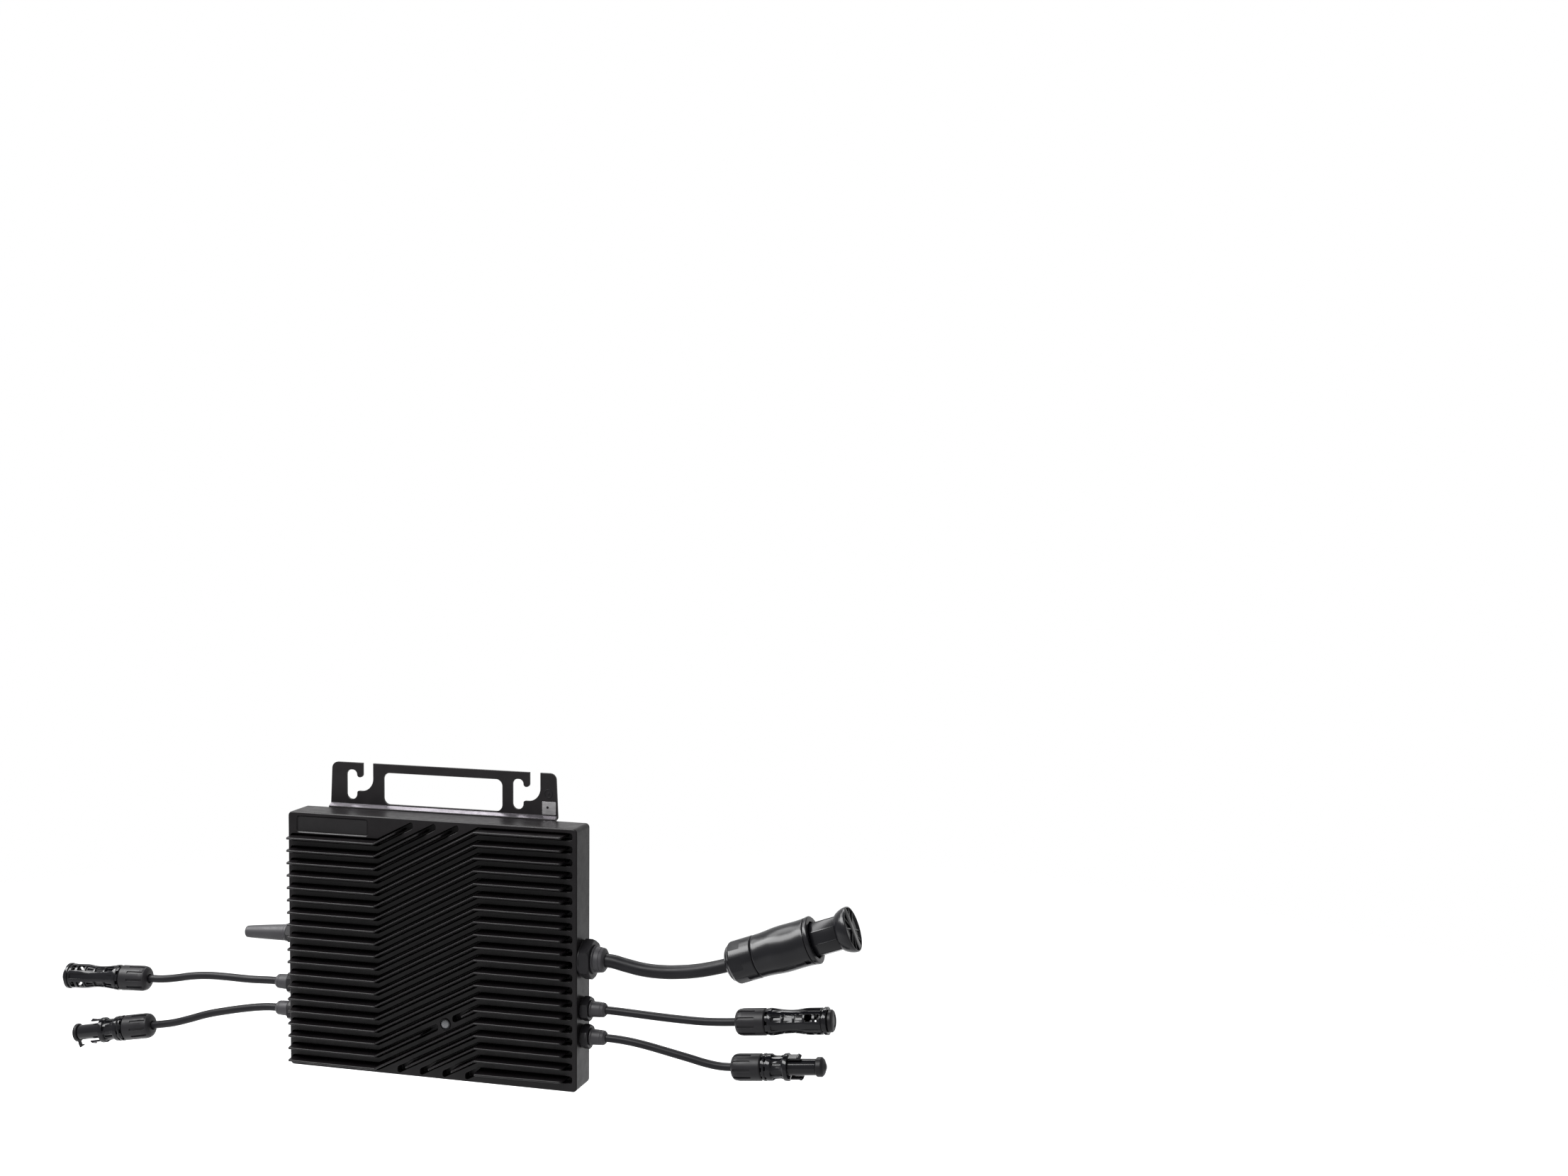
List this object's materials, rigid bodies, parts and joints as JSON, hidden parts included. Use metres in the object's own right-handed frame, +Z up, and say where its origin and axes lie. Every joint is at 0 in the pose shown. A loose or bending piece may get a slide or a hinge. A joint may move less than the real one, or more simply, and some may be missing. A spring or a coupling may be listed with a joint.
{
  "type": "micro inverter",
  "caption": "Two-input micro inverter with a zigzag finned front, a hook bracket on its back, solar leads on both sides, a grid lead with a capped connector and a stub antenna.",
  "frame": {"origin": "rear face of the hook bracket, at the middle of its top bar", "axes": "+Y out of the rear face towards the wall or rail that the unit hangs on, +Z up, +X to the side that the grid lead leaves"},
  "size_m": [0.6351, 0.04, 0.2322],
  "materials": {
    "housing": "satin black powder coat",
    "sheet": "semi-gloss black powder coat",
    "plate": "matt blank label",
    "lens": "grey translucent light pipe, unlit",
    "bare_sheet": "bare sheet metal",
    "screw": "plated steel",
    "seal": "matt",
    "board": "coated board",
    "can": "sleeved cans",
    "ferrite": "ferrite",
    "copper": "enamelled copper winding",
    "component": "moulded",
    "sheath": "satin black sheath",
    "soft_black": "matt",
    "contact": "plated contact",
    "gland": "matt black nylon",
    "cap": "satin black",
    "connector": "semi-gloss black"
  },
  "bodies": {
    "inverter": {"antenna_ferrule": "gland", "antenna_stub": "soft_black", "back_cover": "sheet", "circuit_board": "board", "cover_seal": "seal", "earth_pad": "bare_sheet", "grid_body": "connector", "grid_cable": "sheath", "grid_gland": "gland", "grid_inductor": "copper", "grid_insert": "connector", "grid_relays": "component", "grid_sleeve": "soft_black", "hook_bracket": "sheet", "housing": "housing", "input_capacitors": "can", "left_lower_body": "connector", "left_lower_cable": "sheath", "left_lower_contact": "contact", "left_lower_gland": "gland", "left_lower_sleeve": "soft_black", "left_upper_body": "connector", "left_upper_cable": "sheath", "left_upper_contact": "contact", "left_upper_gland": "gland", "left_upper_sleeve": "soft_black", "power_switches": "component", "rating_plate": "plate", "right_lower_body": "connector", "right_lower_cable": "sheath", "right_lower_contact": "contact", "right_lower_gland": "gland", "right_lower_sleeve": "soft_black", "right_upper_body": "connector", "right_upper_cable": "sheath", "right_upper_contact": "contact", "right_upper_gland": "gland", "right_upper_sleeve": "soft_black", "screw_lower_left": "screw", "screw_lower_right": "screw", "screw_upper_left": "screw", "screw_upper_right": "screw", "status_lens": "lens", "transformer_left": "ferrite", "transformer_right": "ferrite"},
    "right_upper_nut": {"right_upper_nut": "connector"},
    "right_upper_cap": {"right_upper_cap": "cap"},
    "right_lower_nut": {"right_lower_nut": "connector"},
    "right_lower_cap": {"right_lower_cap": "cap"},
    "right_lower_prong_upper": {"right_lower_prong_upper": "connector"},
    "right_lower_prong_lower": {"right_lower_prong_lower": "connector"},
    "left_upper_nut": {"left_upper_nut": "connector"},
    "left_upper_cap": {"left_upper_cap": "cap"},
    "left_lower_nut": {"left_lower_nut": "connector"},
    "left_lower_cap": {"left_lower_cap": "cap"},
    "left_lower_prong_upper": {"left_lower_prong_upper": "connector"},
    "left_lower_prong_lower": {"left_lower_prong_lower": "connector"},
    "grid_nut": {"grid_nut": "connector"},
    "grid_cap": {"grid_cap": "cap"},
    "grid_knob": {"grid_knob": "cap"}
  },
  "joints": [
    {"name": "right_upper_nut_turn", "type": "hinge", "parent": "inverter", "child": "right_upper_nut", "pos_m": [0.24314, -0.019, -0.16291], "axis": [0.9952, 0, 0.0976], "range_deg": [0, 360]},
    {"name": "right_upper_cap_pull", "type": "slide", "parent": "inverter", "child": "right_upper_cap", "axis": [0.9952, 0, 0.0976], "range_m": [0, 0.02]},
    {"name": "right_lower_nut_turn", "type": "hinge", "parent": "inverter", "child": "right_lower_nut", "pos_m": [0.24024, -0.019, -0.19584], "axis": [0.9956, 0, 0.0941], "range_deg": [0, 360]},
    {"name": "right_lower_cap_pull", "type": "slide", "parent": "inverter", "child": "right_lower_cap", "axis": [0.9956, 0, 0.0941], "range_m": [0, 0.015]},
    {"name": "right_lower_prong_upper_press", "type": "hinge", "parent": "inverter", "child": "right_lower_prong_upper", "pos_m": [0.27027, -0.02124, -0.18518], "axis": [-0.026, 0.9611, 0.2751], "range_deg": [0, 5], "stiffness_Nm_per_rad": 0.05},
    {"name": "right_lower_prong_lower_press", "type": "hinge", "parent": "inverter", "child": "right_lower_prong_lower", "pos_m": [0.27174, -0.01676, -0.20068], "axis": [0.026, -0.9611, -0.2751], "range_deg": [0, 5], "stiffness_Nm_per_rad": 0.05},
    {"name": "left_upper_nut_turn", "type": "hinge", "parent": "inverter", "child": "left_upper_nut", "pos_m": [-0.25436, -0.02104, -0.17127], "axis": [-0.9959, -0.0871, -0.0227], "range_deg": [0, 360]},
    {"name": "left_upper_cap_pull", "type": "slide", "parent": "inverter", "child": "left_upper_cap", "axis": [-0.9959, -0.0871, -0.0227], "range_m": [0, 0.02]},
    {"name": "left_lower_nut_turn", "type": "hinge", "parent": "inverter", "child": "left_lower_nut", "pos_m": [-0.25211, -0.02103, -0.20928], "axis": [-0.9839, -0.0861, -0.1564], "range_deg": [0, 360]},
    {"name": "left_lower_cap_pull", "type": "slide", "parent": "inverter", "child": "left_lower_cap", "axis": [-0.9839, -0.0861, -0.1564], "range_m": [0, 0.015]},
    {"name": "left_lower_prong_upper_press", "type": "hinge", "parent": "inverter", "child": "left_lower_prong_upper", "pos_m": [-0.28394, -0.02111, -0.20657], "axis": [0.0302, -0.9437, 0.3294], "range_deg": [0, 5], "stiffness_Nm_per_rad": 0.05},
    {"name": "left_lower_prong_lower_press", "type": "hinge", "parent": "inverter", "child": "left_lower_prong_lower", "pos_m": [-0.28108, -0.02628, -0.22165], "axis": [-0.0302, 0.9437, -0.3294], "range_deg": [0, 5], "stiffness_Nm_per_rad": 0.05},
    {"name": "grid_nut_turn", "type": "hinge", "parent": "inverter", "child": "grid_nut", "pos_m": [0.2366, -0.019, -0.11914], "axis": [0.9409, 0, 0.3387], "range_deg": [0, 360]},
    {"name": "grid_cap_pull", "type": "slide", "parent": "inverter", "child": "grid_cap", "axis": [0.9409, 0, 0.3387], "range_m": [0, 0.03]},
    {"name": "grid_knob_turn", "type": "hinge", "parent": "grid_cap", "child": "grid_knob", "pos_m": [0.30999, -0.019, -0.09272], "axis": [0.9409, 0, 0.3387], "range_deg": [0, 90]}
  ]
}
